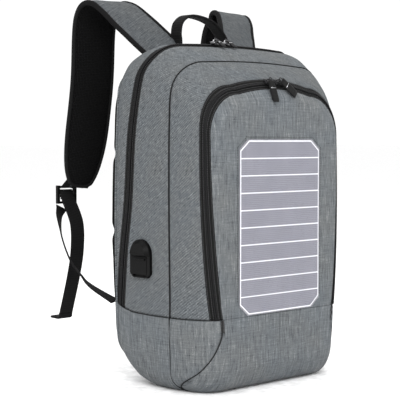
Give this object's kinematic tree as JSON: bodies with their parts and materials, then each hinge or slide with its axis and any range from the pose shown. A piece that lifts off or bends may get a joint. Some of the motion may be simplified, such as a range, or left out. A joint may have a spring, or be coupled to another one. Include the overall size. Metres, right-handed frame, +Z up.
{
  "type": "solar backpack",
  "caption": "Padded laptop backpack with a solar panel on its front pocket flap, double zips, side USB charging port, haul loop and two shoulder straps.",
  "frame": {"origin": "on the surface it stands on, under the middle of its flat base, in the body's mid-plane", "axes": "+Z up, +Y towards the wearer's back, -Y the solar face, +X to the right as the solar face is seen; the charging port is on -X"},
  "size_m": [0.329, 0.3454, 0.5494],
  "materials": {
    "grey_fabric": "matte",
    "black_mesh": "matte",
    "lining": "matte",
    "webbing": "matte",
    "zip_tape": "satin",
    "stiffener": "matte",
    "black_plastic": "satin",
    "port_rubber": "matte",
    "pull_rubber": "satin",
    "slider_metal": "satin",
    "socket_metal": "satin",
    "solar_backing": "satin",
    "solar_cell": "gloss",
    "solar_film": "gloss",
    "board": "satin",
    "screw": "satin",
    "lead": "satin"
  },
  "bodies": {
    "rear_body": {"back_panel": "black_mesh", "rear_gusset": "grey_fabric", "base_boot": "grey_fabric", "lower_front_panel": "grey_fabric", "main_zip_tape_rear": "zip_tape", "base_board": "stiffener", "frame_sheet": "stiffener", "laptop_sleeve": "lining", "webbing_anchor_left": "grey_fabric", "webbing_anchor_right": "grey_fabric", "lower_webbing_left": "webbing", "lower_webbing_right": "webbing", "handle_feet": "webbing"},
    "front_body": {"main_gusset": "grey_fabric", "front_gusset": "grey_fabric", "main_zip_tape_front": "zip_tape", "pocket_zip_tape_body": "zip_tape", "pocket_divider": "lining", "power_bank_pocket": "lining", "port_bezel": "black_plastic", "port_inner_housing": "black_plastic", "port_tongue": "black_plastic", "port_socket": "socket_metal", "lead_gland": "lead", "charge_lead": "lead", "charge_lead_plug": "lead"},
    "port_flap": {"port_cover": "port_rubber"},
    "pocket_flap": {"pocket_flap_panel": "grey_fabric", "pocket_zip_tape_flap": "zip_tape", "solar_backing": "solar_backing", "solar_cells": "solar_cell", "solar_cover_sheet": "solar_film", "regulator_case": "black_plastic", "regulator_lid": "black_plastic", "regulator_screws": "screw", "regulator_board": "board", "regulator_socket": "socket_metal"},
    "main_slider_left": {"main_slider_left": "slider_metal"},
    "main_pull_left": {"main_pull_left": "pull_rubber"},
    "main_slider_right": {"main_slider_right": "slider_metal"},
    "main_pull_right": {"main_pull_right": "pull_rubber"},
    "pocket_slider_left": {"pocket_slider_left": "slider_metal"},
    "pocket_pull_left": {"pocket_pull_left": "pull_rubber"},
    "pocket_slider_right": {"pocket_slider_right": "slider_metal"},
    "pocket_pull_right": {"pocket_pull_right": "pull_rubber"},
    "haul_handle": {"haul_handle": "webbing"},
    "shoulder_strap_left": {"strap_pad_left": "grey_fabric", "strap_loop_left": "webbing", "webbing_tail_left": "webbing", "webbing_stop_left": "webbing", "ladder_lock_left": "black_plastic"},
    "shoulder_strap_right": {"strap_pad_right": "grey_fabric", "strap_loop_right": "webbing", "webbing_tail_right": "webbing", "webbing_stop_right": "webbing", "ladder_lock_right": "black_plastic"}
  },
  "joints": [
    {"name": "main_opening", "type": "hinge", "parent": "rear_body", "child": "front_body", "pos_m": [0, 0.08, 0.108], "axis": [1, 0, 0], "range_deg": [0, 14], "stiffness_Nm_per_rad": 6, "springref_deg": -15.47, "deforming": ["base_boot", "lower_front_panel"]},
    {"name": "pocket_opening", "type": "hinge", "parent": "front_body", "child": "pocket_flap", "pos_m": [0, -0.0952, 0.1037], "axis": [1, 0, 0], "range_deg": [0, 75]},
    {"name": "port_cover_hinge", "type": "hinge", "parent": "front_body", "child": "port_flap", "pos_m": [-0.1569, 0.023, 0.159], "axis": [0, -1, 0], "range_deg": [0, 110]},
    {"name": "haul_handle_swing", "type": "hinge", "parent": "rear_body", "child": "haul_handle", "pos_m": [0, 0.062, 0.482], "axis": [1, 0, 0], "range_deg": [-12, 55], "stiffness_Nm_per_rad": 0.01, "deforming": ["handle_feet"]},
    {"name": "main_zip_slide_left", "type": "slide", "parent": "rear_body", "child": "main_slider_left", "axis": [-1, 0, 0], "range_m": [0, 0.04]},
    {"name": "main_pull_swing_left", "type": "hinge", "parent": "main_slider_left", "child": "main_pull_left", "pos_m": [-0.034, -0.0015, 0.4895], "axis": [-1, 0, 0], "range_deg": [0, 80]},
    {"name": "main_zip_slide_right", "type": "slide", "parent": "rear_body", "child": "main_slider_right", "axis": [1, 0, 0], "range_m": [0, 0.08]},
    {"name": "main_pull_swing_right", "type": "hinge", "parent": "main_slider_right", "child": "main_pull_right", "pos_m": [-0.012, -0.0015, 0.4895], "axis": [-1, 0, 0], "range_deg": [0, 80]},
    {"name": "pocket_zip_slide_left", "type": "slide", "parent": "front_body", "child": "pocket_slider_left", "axis": [-0.9994, 0, -0.035], "range_m": [0, 0.045]},
    {"name": "pocket_pull_swing_left", "type": "hinge", "parent": "pocket_slider_left", "child": "pocket_pull_left", "pos_m": [-0.012, -0.0882, 0.4304], "axis": [-1, 0, 0], "range_deg": [0, 90]},
    {"name": "pocket_zip_slide_right", "type": "slide", "parent": "front_body", "child": "pocket_slider_right", "axis": [0.9994, 0, -0.035], "range_m": [0, 0.045]},
    {"name": "pocket_pull_swing_right", "type": "hinge", "parent": "pocket_slider_right", "child": "pocket_pull_right", "pos_m": [0.008, -0.0882, 0.4304], "axis": [-1, 0, 0], "range_deg": [0, 90]},
    {"name": "strap_swing_left", "type": "hinge", "parent": "rear_body", "child": "shoulder_strap_left", "pos_m": [0, 0.062, 0.47], "axis": [1, 0, 0], "range_deg": [-12, 8], "stiffness_Nm_per_rad": 1.2, "springref_deg": 4.01, "deforming": ["lower_webbing_left"]},
    {"name": "strap_swing_right", "type": "hinge", "parent": "rear_body", "child": "shoulder_strap_right", "pos_m": [0, 0.062, 0.47], "axis": [1, 0, 0], "range_deg": [-12, 8], "stiffness_Nm_per_rad": 1.2, "springref_deg": 4.01, "deforming": ["lower_webbing_right"]}
  ]
}
